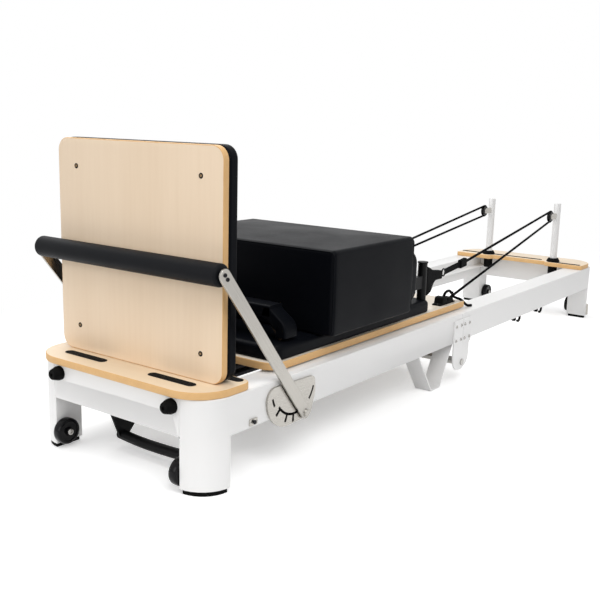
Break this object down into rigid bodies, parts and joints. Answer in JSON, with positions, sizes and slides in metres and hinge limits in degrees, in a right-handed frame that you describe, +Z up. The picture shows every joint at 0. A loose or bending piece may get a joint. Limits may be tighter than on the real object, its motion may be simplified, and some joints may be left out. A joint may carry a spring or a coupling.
{
  "type": "folding pilates reformer",
  "caption": "Folding pilates reformer: white hinged bed frame on corner legs, sprung carriage with sitting box and shoulder rests, foot bar, jump board, rope risers.",
  "frame": {"origin": "under the middle of the whole object, on the floor", "axes": "+Z up, +X from the foot end to the head end, +Y to the far side of the picture"},
  "size_m": [2.653, 0.6526, 0.7986],
  "materials": {
    "white_paint": "satin white powder coat",
    "birch_ply": "clear lacquer",
    "black_vinyl": "soft matte",
    "black_foam": "matte foam",
    "black_rubber": "matte",
    "wheel_plastic": "gloss",
    "dark_steel": "satin black",
    "stainless_steel": "brushed",
    "spring_steel": "bright",
    "black_webbing": "woven"
  },
  "bodies": {
    "frame": {"side_frame_foot_near": "white_paint", "side_frame_foot_far": "white_paint", "end_beam_foot": "white_paint", "rubber_foot_foot_near": "black_rubber", "rubber_foot_foot_far": "black_rubber", "v_leg_near": "white_paint", "v_leg_far": "white_paint", "spring_bar": "dark_steel", "platform_foot": "birch_ply", "lift_handle": "dark_steel", "quadrant_plate_near": "stainless_steel", "quadrant_plate_far": "stainless_steel", "hinge_plate_foot_near": "white_paint", "hinge_plate_foot_far": "white_paint"},
    "foot_bar": {"foot_bar_arm_near": "stainless_steel", "foot_bar_arm_far": "stainless_steel", "foot_bar_tube": "dark_steel", "foot_bar_grip": "black_foam"},
    "jump_board": {"jump_board_ply": "birch_ply", "jump_board_pad": "black_vinyl"},
    "carriage": {"carriage_base": "birch_ply", "carriage_pad": "black_vinyl", "carriage_underframe": "dark_steel", "carriage_spring_1": "spring_steel", "carriage_spring_2": "spring_steel", "carriage_spring_3": "spring_steel", "arch_former": "birch_ply", "arch_pad": "black_vinyl", "shoulder_pad_near": "black_vinyl", "shoulder_pad_far": "black_vinyl", "shoulder_post_near": "dark_steel", "shoulder_post_far": "dark_steel", "strap_loop_near": "black_webbing", "strap_loop_far": "black_webbing"},
    "sitting_box": {"sitting_box": "black_vinyl"},
    "rollers_back": {"roller_set_back": "wheel_plastic"},
    "rollers_front": {"roller_set_front": "wheel_plastic"},
    "head_half": {"side_frame_head_near": "white_paint", "side_frame_head_far": "white_paint", "end_beam_head": "white_paint", "rubber_foot_head_near": "black_rubber", "rubber_foot_head_far": "black_rubber", "platform_head": "birch_ply", "hinge_plate_head_near": "white_paint", "hinge_plate_head_far": "white_paint", "hinge_tube": "dark_steel", "riser_collar_near": "black_rubber", "riser_collar_far": "black_rubber", "rope_near": "black_webbing", "rope_far": "black_webbing"},
    "wheel_foot_near": {"transport_wheel_foot_near": "wheel_plastic"},
    "wheel_foot_far": {"transport_wheel_foot_far": "wheel_plastic"},
    "wheel_head_near": {"transport_wheel_head_near": "wheel_plastic"},
    "wheel_head_far": {"transport_wheel_head_far": "wheel_plastic"},
    "riser_near": {"riser_near": "white_paint"},
    "pulley_near": {"pulley_block_near": "stainless_steel"},
    "sheave_near": {"sheave_near": "wheel_plastic"},
    "riser_far": {"riser_far": "white_paint"},
    "pulley_far": {"pulley_block_far": "stainless_steel"},
    "sheave_far": {"sheave_far": "wheel_plastic"}
  },
  "joints": [
    {"name": "fold", "type": "hinge", "parent": "frame", "child": "head_half", "pos_m": [-0.0375, 0, 0.066], "axis": [0, 1, 0], "range_deg": [0, 180]},
    {"name": "carriage_travel", "type": "slide", "parent": "frame", "child": "carriage", "axis": [1, 0, 0], "range_m": [0, 0.95], "stiffness_N_per_m": 800, "deforming": ["carriage_spring_1", "carriage_spring_2", "carriage_spring_3", "rope_near", "rope_far"]},
    {"name": "foot_bar_lower", "type": "hinge", "parent": "frame", "child": "foot_bar", "pos_m": [-0.9425, 0, 0.1265], "axis": [0, 1, 0], "range_deg": [-50, 0]},
    {"name": "jump_board_lift", "type": "slide", "parent": "frame", "child": "jump_board", "axis": [0, 0, 1], "range_m": [0, 0.06]},
    {"name": "sitting_box_lift", "type": "slide", "parent": "carriage", "child": "sitting_box", "axis": [0, 0, 1], "range_m": [0, 0.3]},
    {"name": "rollers_back_turn", "type": "hinge", "parent": "carriage", "child": "rollers_back", "pos_m": [-0.8995, 0, 0.2134], "axis": [0, 1, 0], "continuous": true},
    {"name": "rollers_front_turn", "type": "hinge", "parent": "carriage", "child": "rollers_front", "pos_m": [-0.1095, 0, 0.2134], "axis": [0, 1, 0], "continuous": true},
    {"name": "wheel_foot_near_spin", "type": "hinge", "parent": "frame", "child": "wheel_foot_near", "pos_m": [-1.277, -0.207, 0.0455], "axis": [0, 1, 0], "continuous": true},
    {"name": "wheel_foot_far_spin", "type": "hinge", "parent": "frame", "child": "wheel_foot_far", "pos_m": [-1.277, 0.207, 0.0455], "axis": [0, 1, 0], "continuous": true},
    {"name": "wheel_head_near_spin", "type": "hinge", "parent": "head_half", "child": "wheel_head_near", "pos_m": [1.292, -0.207, 0.0455], "axis": [0, 1, 0], "continuous": true},
    {"name": "wheel_head_far_spin", "type": "hinge", "parent": "head_half", "child": "wheel_head_far", "pos_m": [1.292, 0.207, 0.0455], "axis": [0, 1, 0], "continuous": true},
    {"name": "riser_near_height", "type": "slide", "parent": "head_half", "child": "riser_near", "axis": [0, 0, 1], "range_m": [-0.1, 0.03]},
    {"name": "pulley_near_swivel", "type": "hinge", "parent": "riser_near", "child": "pulley_near", "pos_m": [1.1505, -0.157, 0.461], "axis": [1, 0, 0], "range_deg": [-80, 80]},
    {"name": "sheave_near_spin", "type": "hinge", "parent": "pulley_near", "child": "sheave_near", "pos_m": [1.0955, -0.157, 0.461], "axis": [0, 1, 0], "continuous": true},
    {"name": "riser_far_height", "type": "slide", "parent": "head_half", "child": "riser_far", "axis": [0, 0, 1], "range_m": [-0.1, 0.03]},
    {"name": "pulley_far_swivel", "type": "hinge", "parent": "riser_far", "child": "pulley_far", "pos_m": [1.1505, 0.157, 0.461], "axis": [1, 0, 0], "range_deg": [-80, 80]},
    {"name": "sheave_far_spin", "type": "hinge", "parent": "pulley_far", "child": "sheave_far", "pos_m": [1.0955, 0.157, 0.461], "axis": [0, 1, 0], "continuous": true}
  ],
  "couplings": [
    {"joint": "rollers_back_turn", "follows": "carriage_travel", "rad_per_m": 45.455},
    {"joint": "rollers_front_turn", "follows": "carriage_travel", "rad_per_m": 45.455}
  ]
}
